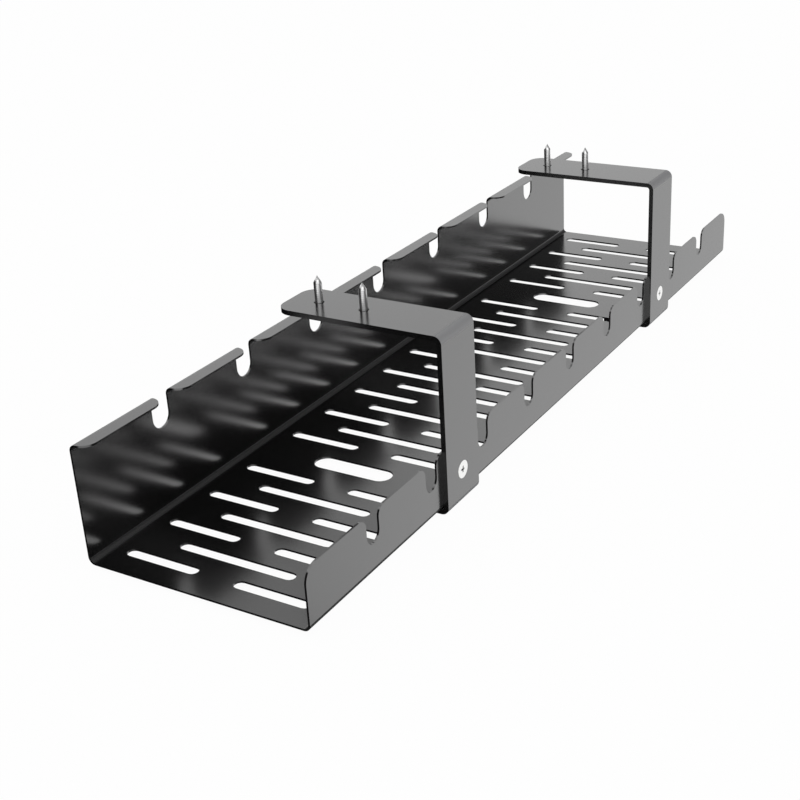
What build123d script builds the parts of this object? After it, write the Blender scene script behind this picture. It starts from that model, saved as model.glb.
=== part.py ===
from build123d import *
import os

# Under-desk cable tray hung from two bent strip brackets, in millimetres
# X runs along the tray, Y from the low front wall to the tall back wall, Z up
# The origin lies on the desk's underside, in the middle of the four wood screws

# tray sheet
tray_length = 500.0
tray_width = 120.0
sheet = 1.0
tray_bend = 2.5  # inner radius of every bend in the tray
back_height = 60.0
front_height = 30.0

# back wall and its inward lip
back_sections = 8
back_notch_width = 12.0
back_notch_depth = 18.0
lip_width = 10.0
lip_corner = 7.0

# low front wall
front_segments = 10
front_notch_width = 10.0
front_notch_depth = 15.0
front_notch_corner = 5.0
front_end_corner = 8.0

# slots in the bottom plate
slot_pitch = 30.0
slot_width = 6.0
slot_end_sides = 6  # short straight edges that round each end of a slot
short_slot_length = 40.0
short_slot_offset = 30.0  # tray's middle line to the middle of each short slot
long_slot_length = 63.0
access_hole_width = 12.0
access_hole_length = 44.0
access_hole_margin = 20.0  # middle of an access hole to the next short slots
slot_end_margin = 15.0  # tray's end to the middle of the outermost slot

# brackets
bracket_spacing = 250.0
bracket_width = 30.0
strip = 2.5
bracket_bend = 1.5  # inner radius of the bends to the leaf and to the foot
tray_drop = 87.5  # desk's underside to the tray's underside
leaf_corner = 8.0
foot_length = 30.0

# wood screws into the desk
wood_screw_reach = 62.0  # bracket's outer face to the middle between the two screws
wood_screw_spacing = 25.0
wood_screw_margin = 15.5  # back screw to the leaf's end
wood_screw_diameter = 4.0  # over the thread
wood_screw_length = 16.0  # under the head
wood_screw_point = 3.5
wood_neck_diameter = 3.0  # plain neck inside the leaf
wood_head_diameter = 8.0
wood_head_height = 2.6
wood_hole_clearance = 0.5  # radial

# flush screws that fix the tray to its brackets
fixing_height = 15.0  # above the tray's underside
fixing_diameter = 5.0
fixing_length = 6.0
fixing_head_diameter = 9.0
fixing_head_clearance = 0.1  # radial, round the countersunk head
fixing_hole_clearance = 0.25  # radial, round the shank in the bracket
thread_clearance = 0.05  # radial, in the tray's wall

# places worked out from the sizes above
strip_face = -wood_screw_reach
front_face = strip_face + strip
back_face = front_face + tray_width
tray_middle = (front_face + back_face) / 2
leaf_end = wood_screw_spacing / 2 + wood_screw_margin
underside = -tray_drop
back_top = underside + back_height
front_top = underside + front_height
bend_outside = tray_bend + sheet
back_pitch = (tray_length + back_notch_width) / back_sections
back_section_length = back_pitch - back_notch_width
front_pitch = tray_length / front_segments
bracket_places = (-bracket_spacing / 2, bracket_spacing / 2)
fixing_level = underside + fixing_height
fixing_head_depth = (fixing_head_diameter - fixing_diameter) / 2  # cone of 90 degrees
past = 1.0  # how far a cutting shape runs past the sheet


def bent_section(points, radii, thickness):
    outside = FilletPolyline(*points, radius=radii)
    edge = offset(outside, thickness, kind=Kind.INTERSECTION, side=Side.LEFT)
    return make_face(edge)


def along_x(face, low, high):
    return extrude(Plane.YZ.offset(low) * face, amount=high - low)


def spread(low, high, pitch):
    count = int((high - low) / pitch + 0.001) + 1
    start = (low + high - (count - 1) * pitch) / 2
    return [start + i * pitch for i in range(count)]


def section_starts():
    return [-tray_length / 2 + i * back_pitch for i in range(back_sections)]


def folded_sheet():
    points = [
        (front_face, front_top),
        (front_face, underside),
        (back_face, underside),
        (back_face, back_top),
        (back_face - lip_width, back_top),
    ]
    section = bent_section(points, [bend_outside] * 3, sheet)
    return along_x(section, -tray_length / 2, tray_length / 2)


def lip_outline(start):
    plan = Pos(start, back_face) * Rectangle(
        back_section_length, lip_width, align=(Align.MIN, Align.MAX)
    )
    inner = plan.vertices().group_by(Axis.Y)[0]
    return fillet(inner, lip_corner)


def lip_gaps():
    band = Pos(0, back_face + past) * Rectangle(
        tray_length + 2 * past, lip_width + 2 * past, align=(Align.CENTER, Align.MAX)
    )
    for start in section_starts():
        band -= lip_outline(start)
    return extrude(Pos(0, 0, back_top - bend_outside) * band, amount=bend_outside + past)


def back_notches():
    top = back_top - bend_outside
    bottom = back_top - back_notch_depth
    radius = back_notch_width / 2
    face = Sketch()
    for start in section_starts()[1:]:
        middle = start - radius
        face += Pos(middle, bottom + radius) * Circle(radius)
        face += Pos(middle, bottom + radius) * Rectangle(
            back_notch_width, top - bottom - radius, align=(Align.CENTER, Align.MIN)
        )
    depth = sheet + 2 * past
    return extrude(Plane.XZ.offset(-back_face - past) * face, amount=depth)


def front_outline():
    bottom = underside + bend_outside
    radius = front_notch_width / 2
    wall = Pos(0, bottom) * Rectangle(
        tray_length, front_top - bottom, align=(Align.CENTER, Align.MIN)
    )
    for i in range(1, front_segments):
        middle = -tray_length / 2 + i * front_pitch
        level = front_top - front_notch_depth + radius
        wall -= Pos(middle, level) * Circle(radius)
        wall -= Pos(middle, level) * Rectangle(
            front_notch_width, front_notch_depth, align=(Align.CENTER, Align.MIN)
        )
    top = wall.vertices().group_by(Axis.Y)[-1].sort_by(Axis.X)
    ends = fillet(top[:1] + top[-1:], front_end_corner)
    inner = ends.vertices().group_by(Axis.Y)[-1].sort_by(Axis.X)[1:-1]
    return fillet(inner, front_notch_corner)


def front_trim():
    bottom = underside + bend_outside
    around = Pos(0, bottom) * Rectangle(
        tray_length + 2 * past, front_height, align=(Align.CENTER, Align.MIN)
    )
    plane = Plane.XZ.offset(past - front_face)
    return extrude(plane * (around - front_outline()), amount=-(sheet + 2 * past))


def short_slot_places():
    inner = bracket_spacing / 2 - access_hole_margin
    outer = bracket_spacing / 2 + access_hole_margin
    end = tray_length / 2 - slot_end_margin
    right = spread(outer, end, slot_pitch)
    return [[-x for x in reversed(right)], spread(-inner, inner, slot_pitch), right]


def tie_slot(length):
    straight = length - slot_width
    shape = Rectangle(slot_width, straight)
    for y in (-straight / 2, straight / 2):
        shape += Pos(0, y) * RegularPolygon(slot_width / 2, 2 * slot_end_sides)
    return shape


def bottom_slots():
    short = tie_slot(short_slot_length)
    long = tie_slot(long_slot_length)
    access = Rot(0, 0, 90) * SlotOverall(access_hole_length, access_hole_width)
    face = Sketch()
    for group in short_slot_places():
        for x in group:
            face += Pos(x, short_slot_offset) * short
            face += Pos(x, -short_slot_offset) * short
        for left, right in zip(group, group[1:]):
            face += Pos((left + right) / 2, 0) * long
    for x in bracket_places:
        face += Pos(x, 0) * access
    plan = Pos(0, tray_middle, underside - past) * face
    return extrude(plan, amount=sheet + 2 * past)


def turned_at_fixing(x, points):
    profile = Polyline(*points, close=True)
    return Pos(x, strip_face, fixing_level) * revolve(make_face(profile), Axis.Y)


def head_room(x):
    rim = fixing_head_diameter / 2 + fixing_head_clearance
    return turned_at_fixing(x, [(0, -rim), (rim + past, -past), (0, rim)])


def fixing_hole(x, radius, low, high):
    plane = Plane((x, low, fixing_level), x_dir=(1, 0, 0), z_dir=(0, 1, 0))
    return extrude(plane * Circle(radius), amount=high - low)


def make_tray():
    tray = folded_sheet() - lip_gaps() - back_notches() - front_trim() - bottom_slots()
    for x in bracket_places:
        radius = fixing_diameter / 2 + thread_clearance
        tray -= fixing_hole(x, radius, front_face - past, front_face + sheet + past)
    return tray


def wood_screw_places():
    return [wood_screw_spacing / 2, -wood_screw_spacing / 2]


def make_bracket(x):
    foot_end = strip_face + foot_length
    foot_face = underside - strip
    points = [(leaf_end, 0), (strip_face, 0), (strip_face, foot_face), (foot_end, foot_face)]
    section = bent_section(points, [bracket_bend + strip] * 2, strip)
    bracket = along_x(section, x - bracket_width / 2, x + bracket_width / 2)
    tips = bracket.edges().filter_by(Axis.Z).group_by(Axis.Y)[-1]
    bracket = fillet(tips, leaf_corner)
    for y in wood_screw_places():
        radius = wood_screw_diameter / 2 + wood_hole_clearance
        bracket -= Pos(x, y, -strip - past) * extrude(Circle(radius), amount=strip + 2 * past)
    radius = fixing_diameter / 2 + fixing_hole_clearance
    return bracket - head_room(x) - fixing_hole(x, radius, strip_face - past, front_face + past)


def make_wood_screw(x, y):
    head_top = -strip
    radius = wood_screw_diameter / 2
    neck = wood_neck_diameter / 2
    head = wood_head_diameter / 2
    tip = head_top + wood_screw_length
    profile = Polyline(
        (0, head_top - wood_head_height),
        (head, head_top - wood_head_height),
        (head, head_top),
        (neck, head_top),
        (neck, 0),
        (radius, 0),
        (radius, tip - wood_screw_point),
        (0, tip),
        close=True,
    )
    return Pos(x, y, 0) * revolve(Plane.XZ * make_face(profile), Axis.Z)


def make_fixing_screw(x):
    radius = fixing_diameter / 2
    head = fixing_head_diameter / 2
    stem = [(radius, fixing_head_depth), (radius, fixing_length), (0, fixing_length)]
    return turned_at_fixing(x, [(0, 0), (head, 0)] + stem)


def save(node, part):
    part.label = node
    export_step(part, f"parts/{node}.step")


os.makedirs("parts", exist_ok=True)
save("tray", make_tray())
for side, x in zip(("left", "right"), bracket_places):
    save(f"bracket_{side}", make_bracket(x))
    save(f"fixing_screw_{side}", make_fixing_screw(x))
    for row, y in zip(("back", "front"), wood_screw_places()):
        save(f"wood_screw_{side}_{row}", make_wood_screw(x, y))
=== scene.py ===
import math

import bpy
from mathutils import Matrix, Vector


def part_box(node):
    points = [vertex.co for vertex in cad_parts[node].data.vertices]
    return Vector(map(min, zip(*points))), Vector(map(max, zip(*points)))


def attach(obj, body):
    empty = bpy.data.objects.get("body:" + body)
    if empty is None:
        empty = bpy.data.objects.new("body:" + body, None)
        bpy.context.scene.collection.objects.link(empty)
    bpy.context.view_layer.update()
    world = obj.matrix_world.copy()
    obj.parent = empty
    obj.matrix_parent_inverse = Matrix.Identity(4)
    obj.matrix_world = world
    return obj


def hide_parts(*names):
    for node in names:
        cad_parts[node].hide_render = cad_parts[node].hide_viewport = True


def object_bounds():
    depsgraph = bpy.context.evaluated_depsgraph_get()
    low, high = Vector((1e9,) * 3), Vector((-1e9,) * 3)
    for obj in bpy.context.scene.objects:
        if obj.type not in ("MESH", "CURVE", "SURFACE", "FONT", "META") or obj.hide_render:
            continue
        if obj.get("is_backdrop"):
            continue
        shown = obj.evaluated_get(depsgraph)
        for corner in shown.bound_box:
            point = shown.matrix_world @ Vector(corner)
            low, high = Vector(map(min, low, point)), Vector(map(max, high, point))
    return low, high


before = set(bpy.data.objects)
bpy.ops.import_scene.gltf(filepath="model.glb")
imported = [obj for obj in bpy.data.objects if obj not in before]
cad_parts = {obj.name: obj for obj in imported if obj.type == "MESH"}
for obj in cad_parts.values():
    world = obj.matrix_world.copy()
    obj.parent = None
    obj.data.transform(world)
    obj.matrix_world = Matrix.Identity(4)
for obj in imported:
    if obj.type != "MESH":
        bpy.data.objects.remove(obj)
cadLow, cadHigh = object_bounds()

# Under-desk cable tray. Metres, X along the tray, Y from the low wall to the tall wall, Z up to the desk.
# The origin is on the desk's underside, in the middle of the four wood screws.


class Wire:  # one socket of a finish, so that sums on it read as sums
    def __init__(self, finish, socket):
        self.finish = finish
        self.socket = socket

    def sum(self, operation, other, turned=False):
        pair = (other, self) if turned else (self, other)
        return self.finish.node("Math", {"operation": operation}, {0: pair[0], 1: pair[1]})

    def __add__(self, other):
        return self.sum("ADD", other)

    def __radd__(self, other):
        return self.sum("ADD", other, True)

    def __sub__(self, other):
        return self.sum("SUBTRACT", other)

    def __rsub__(self, other):
        return self.sum("SUBTRACT", other, True)

    def __mul__(self, other):
        return self.sum("MULTIPLY", other)

    def __rmul__(self, other):
        return self.sum("MULTIPLY", other, True)


noiseMiddle = 0.5  # what a noise is on average


class Finish:  # a material and the one way its nodes are made
    def __init__(self, name):
        self.material = bpy.data.materials.new(name)
        self.material.use_nodes = True
        self.tree = self.material.node_tree
        self.tree.nodes.clear()

    def node(self, kind, settings=None, values=None, out=0):
        made = self.tree.nodes.new("ShaderNode" + kind)
        for name, value in (settings or {}).items():
            if name == "stops":
                self.rampStops(made.color_ramp, value)
            else:
                setattr(made, name, value)
        for name, value in (values or {}).items():
            if isinstance(value, Wire):
                self.tree.links.new(value.socket, made.inputs[name])
            else:
                made.inputs[name].default_value = value
        return Wire(self, made.outputs[out]) if made.outputs else None

    def rampStops(self, ramp, stops):
        while len(ramp.elements) < len(stops):
            ramp.elements.new(0.5)
        for element, (place, grey) in zip(ramp.elements, stops):
            element.position = place
            element.color = (grey, grey, grey, 1)

    def place(self):
        return self.node("TexCoord", out="Object")

    def noise(self, scale, detail=2.0, roughness=0.5, stretch=None):
        spot = self.place()
        if stretch:
            spot = self.node("Mapping", values={"Vector": spot, "Scale": stretch})
        values = {"Vector": spot, "Scale": scale, "Detail": detail, "Roughness": roughness}
        return self.node("TexNoise", values=values)

    def band(self, value, low, high, start=0.0, end=1.0):
        values = {0: value, 1: low, 2: high, 3: start, 4: end}
        return self.node("MapRange", {"clamp": True}, values)

    def end(self, surface):
        self.node("OutputMaterial", values={"Surface": surface})
        return self.material


# studio

studio = {
    "place": (-0.61512, -0.34116, 0.22896),
    "turn": (64.868, 3.156, -59.014),  # degrees
    "lens": 61.29,
    "lensStart": 0.01,  # nearest that the lens sees
    "floorSize": 8.0,
    "floorColour": 0.85,
    "floorGlow": 0.97,  # share of the plain white that the lens sees
    "skyForShade": 0.75,  # brightness of the sky where it isn't mirrored
    "lampPower": 4.0,
    "lampSize": 1.4,
    "lampPlace": (-0.5, -0.9, 1.5),
}

# what the gloss mirrors, ring by ring: the height each ring starts at, then brightness by degrees from +X
darkFront = ((-110, 1.0), (-98, 0.01), (4, 0.01))
darkBack = ((84, 0.01), (166, 0.01), (176, 1.0))
mirroredRings = (
    (-1.0, ((-70, 0.1), (60, 0.1))),
    (-0.6, ((-110, 0.1), (-98, 0.1), (-60, 0.2), (-35, 1.0), (46, 1.0), (58, 0.01))),
    (
        -0.44,
        ((-110, 1.0), (-98, 0.3), (-55, 0.3), (-35, 1.0), (46, 1.0), (58, 0.01), (166, 0.01), (176, 1.0)),
    ),
    (0.08, ((-110, 1.0), (-98, 0.5), (4, 0.5), (18, 1.0), (72, 1.0)) + darkBack),
    (0.3, darkFront + ((18, 0.95), (72, 0.95)) + darkBack),
    (0.47, darkFront + ((18, 0.5), (72, 0.5)) + darkBack),
    (0.65, ((-110, 1.0), (-98, 0.35), (4, 0.35), (18, 1.0))),
    (0.87, ((0, 0.45), (90, 0.45))),
)
ringBlend = 0.035  # half the height over which one ring turns into the next


def seen(finish, *kinds):
    rays = [finish.node("LightPath", out=kind) for kind in kinds]
    for ray in rays[1:]:
        rays[0] = finish.node("Math", {"operation": "MAXIMUM"}, {0: rays[0], 1: ray})
    return rays[0]


class Sky(Finish):
    def __init__(self):
        world = bpy.data.worlds.new("whiteStudio")
        bpy.context.scene.world = world
        world.use_nodes = True
        self.tree = world.node_tree
        self.tree.nodes.clear()

    def end(self, surface):
        self.node("OutputWorld", values={"Surface": surface})


def mirrored(sky):
    way = sky.node("TexCoord", out="Generated")
    x, y, height = (sky.node("SeparateXYZ", values={0: way}, out=axis) for axis in range(3))
    turn = sky.node("Math", {"operation": "ARCTAN2"}, {0: y, 1: x}) * (0.5 / math.pi) + 0.5  # 0.5 at +X
    grey = 0.0
    for start, lightRound in mirroredRings:
        stops = [(0.5 + degrees / 360, light) for degrees, light in lightRound]
        ring = sky.node("ValToRGB", {"stops": stops}, {0: turn})
        share = sky.band(height, start - ringBlend, start + ringBlend)
        grey = grey * (1 - share) + ring * share
    return grey


def makeSky():
    sky = Sky()
    shade = studio["skyForShade"]
    lit = sky.node("Background", values={"Color": (shade, shade, shade, 1), "Strength": 1.0})
    gloss = sky.node("Background", values={"Color": mirrored(sky), "Strength": 1.0})
    white = sky.node("Background", values={"Color": (1, 1, 1, 1), "Strength": 1.0})
    mirrors = seen(sky, "Is Glossy Ray", "Is Transmission Ray")
    away = sky.node("MixShader", values={0: mirrors, 1: lit, 2: gloss})
    sky.end(sky.node("MixShader", values={0: seen(sky, "Is Camera Ray"), 1: away, 2: white}))


def floorFinish():
    finish = Finish("paleFloor")
    grey = studio["floorColour"]
    plain = finish.node("BsdfDiffuse", values={"Color": (grey, grey, grey, 1)})
    glow = finish.node("Emission", values={"Color": (1, 1, 1, 1), "Strength": 1.0})
    share = seen(finish, "Is Camera Ray") * studio["floorGlow"]
    top = finish.node("MixShader", values={0: share, 1: plain, 2: glow})
    below = finish.node("NewGeometry", out="Backfacing")  # clear from below, so the underside can be seen
    clear = finish.node("BsdfTransparent")
    return finish.end(finish.node("MixShader", values={0: below, 1: top, 2: clear}))


def makeFloor():
    bpy.ops.object.select_all(action="DESELECT")
    bpy.ops.mesh.primitive_plane_add(size=studio["floorSize"], location=(0, 0, cadLow.z))
    floor = bpy.context.object
    floor.name = "floor"
    floor.visible_glossy = False  # gloss mirrors the sky's own band instead
    floor.data.materials.append(floorFinish())
    floor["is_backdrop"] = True


def makeLamp():
    lamp = bpy.data.lights.new("softLamp", "AREA")
    lamp.energy = studio["lampPower"]
    lamp.size = studio["lampSize"]
    holder = bpy.data.objects.new("softLamp", lamp)
    bpy.context.scene.collection.objects.link(holder)
    holder.location = studio["lampPlace"]
    holder.rotation_euler = (-Vector(studio["lampPlace"])).to_track_quat("-Z", "Y").to_euler()


def makeCamera():
    lens = bpy.data.cameras.new("photoCamera")
    lens.lens = studio["lens"]
    lens.clip_start = studio["lensStart"]
    camera = bpy.data.objects.new("photoCamera", lens)
    bpy.context.scene.collection.objects.link(camera)
    camera.location = studio["place"]
    camera.rotation_euler = [math.radians(turn) for turn in studio["turn"]]
    bpy.context.scene.camera = camera


makeSky()
makeFloor()
makeLamp()
makeCamera()
bpy.context.scene.view_settings.view_transform = "Standard"
print("studio set")


# black steel of the tray and its brackets

blackCoat = {
    "colour": 0.002,
    "dust": 0.005,  # colour of the faint smudges
    "blue": 1.04,  # how much stronger blue is than red and green
    "gloss": 2.6,  # refractive index of the coat
    "roughness": 0.18,
    "roughnessSpread": 0.04,
    "cloud": (18.0, 3.0),  # noise scale and detail
    "smudge": (60.0, 4.0, 0.6),
    "smudgeEdge": (0.62, 0.8),
    "grain": (2600.0, 2.0),
    "peel": 0.00002,  # height of the grain
    "peelStrength": 0.3,
    "bendRoughness": 0.6,  # the coat dries duller on a bend
    "dullGloss": 1.2,  # refractive index of the dull share
    # slope is how far aslant the sheet faces where a bend's look sets in, and where it is full; the look's
    # colour is a painted sheen, lighter than the flat coat, in place of the reflection the bend would show
    # painted sheen on the tray's creases: a colour a little lighter than the flat coat
    "trayBendPaintedSheen": {"colour": 0.004, "dull": 0.55, "slope": (0.1, 0.42)},
    # painted sheen on the brackets' bends: a grey colour as light as the lit faces beside them
    "bracketBendPaintedSheen": {"colour": 0.19, "dull": 0.0, "slope": (0.02, 0.25)},
}


def onBends(finish, low, high):  # 1 where the sheet faces aslant, so on bends alone, where the painted sheen goes
    facing = finish.node("TexCoord", out="Normal")
    y, z = (finish.node("SeparateXYZ", values={0: facing}, out=axis) for axis in (1, 2))
    return finish.band(finish.node("Math", {"operation": "ABSOLUTE"}, {0: y * z}), low, high)


def blackCoatFinish(name, bendPaintedLook):
    finish = Finish(name)
    cloud = finish.noise(*blackCoat["cloud"])
    smudge = finish.band(finish.noise(*blackCoat["smudge"]), *blackCoat["smudgeEdge"])
    grain = finish.noise(*blackCoat["grain"])
    bend = onBends(finish, *bendPaintedLook["slope"])
    tone = blackCoat["colour"] + smudge * (blackCoat["dust"] - blackCoat["colour"])
    # painted sheen: bends are coloured lighter than the flat coat
    tone = tone + bend * (bendPaintedLook["colour"] - blackCoat["colour"])
    colour = finish.node("CombineColor", values={0: tone, 1: tone, 2: tone * blackCoat["blue"]})
    spread = blackCoat["roughnessSpread"]
    rough = blackCoat["roughness"] + (cloud - noiseMiddle) * spread + smudge * spread
    rough = rough + bend * (blackCoat["bendRoughness"] - blackCoat["roughness"])
    relief = {"Strength": blackCoat["peelStrength"], "Distance": blackCoat["peel"], "Height": grain}
    bump = finish.node("Bump", values=relief)
    values = {"Base Color": colour, "Roughness": rough, "IOR": blackCoat["gloss"], "Normal": bump}
    coat = finish.node("BsdfPrincipled", values=values)
    if not bendPaintedLook["dull"]:
        return finish.end(coat)
    dull = finish.node("BsdfPrincipled", values=values | {"IOR": blackCoat["dullGloss"]})
    return finish.end(finish.node("MixShader", values={0: bend * bendPaintedLook["dull"], 1: coat, 2: dull}))


def dress(node, material):
    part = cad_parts[node]
    part.material_slots[0].link = "OBJECT"
    part.material_slots[0].material = material


dress("tray", blackCoatFinish("trayCoat", blackCoat["trayBendPaintedSheen"]))
bracketCoat = blackCoatFinish("bracketCoat", blackCoat["bracketBendPaintedSheen"])
dress("bracket_left", bracketCoat)
dress("bracket_right", bracketCoat)
print("black steel dressed")


# plated screws

plated = {
    "nickel": (0.95, 0.95, 0.94),
    "zinc": (0.93, 0.93, 0.93),
    "nickelRoughness": 0.14,
    "zincRoughness": 0.3,
    "roughnessSpread": 0.08,
    "cloud": (900.0, 2.0),  # noise scale and detail
    "scratch": (700.0, 3.0, 0.6, (1.0, 1.0, 0.1)),  # the last three stretch it along Z
    "scratchEdge": (0.2, 0.8),
    "scratchTone": 0.92,
    "recessPaintedShade": 0.35,  # painted shade: share of the colour that is left in a recess
    "paintedShadeStart": (0.00008, 0.0003),  # depths under the head's face where the painted shade sets in
    # depths where the painted shade fades out
    "paintedShadeEnd": (0.0018, 0.00216),
}


def platedFinish(name, colour, roughness, headFace=None):  # headFace is the Y of a face with a recess in it, which gets painted shade
    finish = Finish(name)
    rough = roughness + (finish.noise(*plated["cloud"]) - noiseMiddle) * plated["roughnessSpread"]
    tone = finish.band(finish.noise(*plated["scratch"]), *plated["scratchEdge"], plated["scratchTone"], 1.0)
    # painted shade: a darker colour inside the cross recess, where shade falls
    if headFace is not None:
        depth = finish.node("SeparateXYZ", values={0: finish.place()}, out=1) - headFace
        inside = finish.band(depth, *plated["paintedShadeStart"])
        inside = inside * finish.band(depth, *plated["paintedShadeEnd"], 1.0, 0.0)
        tone = tone * (1 - inside * (1 - plated["recessPaintedShade"]))
    red, green, blue = (tone * share for share in colour)
    shade = finish.node("CombineColor", values={0: red, 1: green, 2: blue})
    values = {"Base Color": shade, "Metallic": 1.0, "Roughness": rough}
    return finish.end(finish.node("BsdfPrincipled", values=values))


nickel = platedFinish("brightNickel", plated["nickel"], plated["nickelRoughness"], cadLow.y)
zinc = platedFinish("brightZinc", plated["zinc"], plated["zincRoughness"])

turning = {
    "sides": 40,
    "flank": (0.32, 0.12, 0.36, 0.2),  # shares of a thread's pitch: rise, crest, fall, root
    "turnsBelow": 2,  # how far below its cut end a thread begins
    "spareTurns": 3,
    "tip": 0.001,  # share of its width that a point has when it closes
    "sharpEdge": 32,  # degrees
    "firstPoint": 0.001,  # size of the plane that shrinks to a line's first point
}
near = 0.00001  # points nearer than this are one place
threadNear = 0.000002  # the same on a thread
hair = 0.0000001  # the same on a cut
upright = 0.9  # least upward part of the normal of a level face
crossCut = {
    "turns": (0, 90),  # degrees between the two cuts
    "floorShare": 0.45,  # how wide a cut is at its floor
    "standOut": 0.00002,  # how far the cutter stands out of the head
}


def onlyThis(piece):
    bpy.ops.object.select_all(action="DESELECT")
    piece.select_set(True)
    bpy.context.view_layer.objects.active = piece


def drawLine(name, points):  # points are radius and height
    bpy.ops.object.select_all(action="DESELECT")
    bpy.ops.mesh.primitive_plane_add(
        size=turning["firstPoint"], location=(points[0][0], 0, points[0][1])
    )
    piece = bpy.context.object
    piece.name = name
    bpy.ops.object.transform_apply(location=True, rotation=True, scale=True)
    bpy.ops.object.mode_set(mode="EDIT")
    bpy.ops.mesh.select_mode(type="VERT")
    bpy.ops.mesh.select_all(action="SELECT")
    bpy.ops.mesh.merge(type="CENTER")
    for start, end in zip(points, points[1:]):
        step = (end[0] - start[0], 0, end[1] - start[1])
        bpy.ops.mesh.extrude_region_move(TRANSFORM_OT_translate={"value": step})
    bpy.ops.object.mode_set(mode="OBJECT")
    return piece


def turned(name, points):
    piece = drawLine(name, points)
    bpy.ops.object.mode_set(mode="EDIT")
    bpy.ops.mesh.select_all(action="SELECT")
    bpy.ops.mesh.spin(steps=turning["sides"], angle=2 * math.pi, center=(0, 0, 0), axis=(0, 0, 1))
    bpy.ops.mesh.select_all(action="SELECT")
    bpy.ops.mesh.remove_doubles(threshold=near)
    bpy.ops.mesh.normals_make_consistent(inside=False)
    bpy.ops.object.mode_set(mode="OBJECT")
    return piece


def cutFlat(height, clearUpper):
    bpy.ops.mesh.select_all(action="SELECT")
    bpy.ops.mesh.bisect(
        plane_co=(0, 0, height),
        plane_no=(0, 0, 1),
        use_fill=True,
        clear_outer=clearUpper,
        clear_inner=not clearUpper,
        threshold=hair,
    )


def threadedRod(name, crest, root, pitch, low, high):
    height = low - turning["turnsBelow"] * pitch
    points = [(root, height)]
    for share, radius in zip(turning["flank"], (crest, crest, root, root)):
        height += share * pitch
        points.append((radius, height))
    piece = drawLine(name, points)
    coil = piece.modifiers.new("coil", "SCREW")
    coil.axis = "Z"
    coil.angle = 2 * math.pi
    coil.screw_offset = pitch
    coil.iterations = math.ceil((high - low) / pitch) + turning["spareTurns"]
    coil.steps = turning["sides"]
    coil.render_steps = turning["sides"]
    bpy.ops.object.modifier_apply(modifier="coil")
    bpy.ops.object.mode_set(mode="EDIT")
    bpy.ops.mesh.select_all(action="SELECT")
    bpy.ops.mesh.remove_doubles(threshold=threadNear)
    cutFlat(high, True)
    cutFlat(low, False)
    bpy.ops.mesh.select_all(action="SELECT")
    bpy.ops.mesh.normals_make_consistent(inside=False)
    bpy.ops.object.mode_set(mode="OBJECT")
    return piece


def pickTop(piece, height):  # the faces that look up at this height
    onlyThis(piece)
    bpy.ops.object.mode_set(mode="EDIT")
    bpy.ops.mesh.select_mode(type="FACE")
    bpy.ops.mesh.select_all(action="DESELECT")
    bpy.ops.object.mode_set(mode="OBJECT")
    for face in piece.data.polygons:
        face.select = face.normal.z > upright and abs(face.center.z - height) < near
    bpy.ops.object.mode_set(mode="EDIT")


def drawOut(piece, base, top, share):  # share is how wide the new end is
    pickTop(piece, base)
    bpy.ops.mesh.extrude_region_move(TRANSFORM_OT_translate={"value": (0, 0, top - base)})
    bpy.ops.transform.resize(value=(share, share, 1), center_override=(0, 0, top))
    if share == turning["tip"]:
        bpy.ops.mesh.merge(type="CENTER")
    bpy.ops.object.mode_set(mode="OBJECT")


def crossRecess(piece, face, size):
    depth = size["recessDepth"]
    taper = crossCut["floorShare"]
    for quarter in crossCut["turns"]:
        bpy.ops.object.select_all(action="DESELECT")
        bpy.ops.mesh.primitive_cube_add(size=1, location=(0, 0, face + depth / 2))
        cutter = bpy.context.object
        cutter.scale = (size["recessSpan"], size["recessWidth"], depth)
        cutter.rotation_euler = (0, 0, math.radians(size["recessTurn"] + quarter))
        bpy.ops.object.transform_apply(location=True, rotation=True, scale=True)
        pickTop(cutter, face + depth)
        bpy.ops.transform.resize(value=(taper, taper, 1), center_override=(0, 0, face + depth))
        bpy.ops.object.mode_set(mode="OBJECT")
        cutter.location.z = -crossCut["standOut"]
        onlyThis(piece)
        cut = piece.modifiers.new("recess", "BOOLEAN")
        cut.operation = "DIFFERENCE"
        cut.solver = "EXACT"
        cut.object = cutter
        bpy.ops.object.modifier_apply(modifier="recess")
        bpy.data.objects.remove(cutter)


def joined(*pieces):
    bpy.ops.object.select_all(action="DESELECT")
    for piece in pieces:
        piece.select_set(True)
    bpy.context.view_layer.objects.active = pieces[0]
    bpy.ops.object.join()
    bpy.ops.object.shade_smooth_by_angle(angle=math.radians(turning["sharpEdge"]))
    return bpy.context.object


def standIn(pattern, node, place, turn, material):
    piece = pattern.copy()
    piece.data = pattern.data.copy()
    piece.name = node + "_detailed"
    bpy.context.scene.collection.objects.link(piece)
    piece.rotation_euler = turn
    piece.location = place
    onlyThis(piece)
    bpy.ops.object.transform_apply(location=True, rotation=True, scale=True)
    piece.data.materials.clear()
    piece.data.materials.append(material)
    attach(piece, "root")
    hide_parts(node)


# wood screws into the desk, with their heads under the leaves

woodScrew = {
    "pitch": 0.001,
    "threadDepth": 0.00002,
    "threadRadius": 0.002,
    "neckRadius": 0.0015,
    "neckTop": 0.0002,  # how far the neck reaches into the thread
    "headHeight": 0.0026,
    "dome": ((0, 0), (0.55, 0), (0.72, 0.04), (0.86, 0.14), (0.95, 0.3), (1.0, 0.52)),  # shares of the head
    "pointLength": 0.0035,
    "recessSpan": 0.0042,
    "recessWidth": 0.001,
    "recessDepth": 0.0016,
    "recessTurn": 20,  # degrees
}


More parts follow.
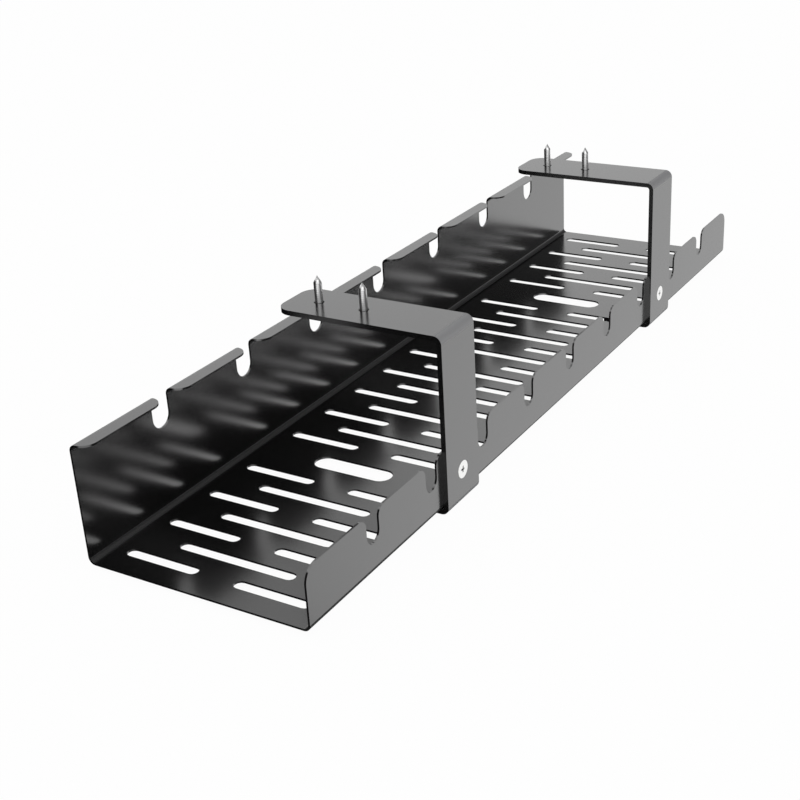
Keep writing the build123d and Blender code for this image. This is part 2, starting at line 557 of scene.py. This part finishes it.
def makeWoodScrew():
    low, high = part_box("wood_screw_left_back")
    size = woodScrew
    bottom = low.z
    headTop = bottom + size["headHeight"]
    wide = (high.x - low.x) / 2
    neck = size["neckRadius"]
    points = [(wide * x, bottom + size["headHeight"] * z) for x, z in size["dome"]]
    points += [(wide, headTop), (neck, headTop), (neck, size["neckTop"]), (0, size["neckTop"])]
    head = turned("woodScrewHead", points)
    crossRecess(head, bottom, size)
    shoulder = high.z - size["pointLength"]
    crest = size["threadRadius"]
    rod = threadedRod("woodScrewRod", crest, crest - size["threadDepth"], size["pitch"], 0, shoulder)
    drawOut(rod, shoulder, high.z, turning["tip"])
    return joined(rod, head)


pattern = makeWoodScrew()
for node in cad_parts:
    if node.startswith("wood_screw"):
        low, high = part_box(node)
        middle = (low + high) / 2
        standIn(pattern, node, (middle.x, middle.y, 0), (0, 0, 0), zinc)
bpy.data.objects.remove(pattern)
print("wood screws made")


# flush screws that hold the tray to its brackets

fixingScrew = {
    "pitch": 0.0008,
    "threadDepth": 0.0004,
    "threadRadius": 0.0025,
    "rim": 0.00006,  # upright edge of the head
    "coreShare": 0.8,  # width of the cone's end, inside the thread
    "overlap": 0.0002,  # how far the cone reaches into the thread
    "chamfer": 0.0004,
    "endShare": 0.86,
    "recessSpan": 0.0034,
    "recessWidth": 0.001,
    "recessDepth": 0.0016,
    "recessTurn": 8,  # degrees
}


def makeFixingScrew():
    low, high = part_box("fixing_screw_left")
    size = fixingScrew
    wide = (high.x - low.x) / 2
    long = high.y - low.y
    thread = size["threadRadius"]
    cone = wide - thread
    coneEnd = cone + size["overlap"]
    points = [(0, 0), (wide - size["rim"], 0), (wide, size["rim"]), (thread, cone)]
    head = turned("fixingScrewHead", points + [(thread * size["coreShare"], coneEnd), (0, coneEnd)])
    crossRecess(head, 0, size)
    shoulder = long - size["chamfer"]
    root = thread - size["threadDepth"]
    rod = threadedRod("fixingScrewRod", thread, root, size["pitch"], cone - size["overlap"], shoulder)
    drawOut(rod, shoulder, long, size["endShare"])
    return joined(rod, head)


pattern = makeFixingScrew()
for node in ("fixing_screw_left", "fixing_screw_right"):
    low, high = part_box(node)
    middle = (low + high) / 2
    place = (middle.x, low.y, middle.z)
    standIn(pattern, node, place, (-math.pi / 2, 0, 0), nickel)
bpy.data.objects.remove(pattern)
print("fixing screws made")

low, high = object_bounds()
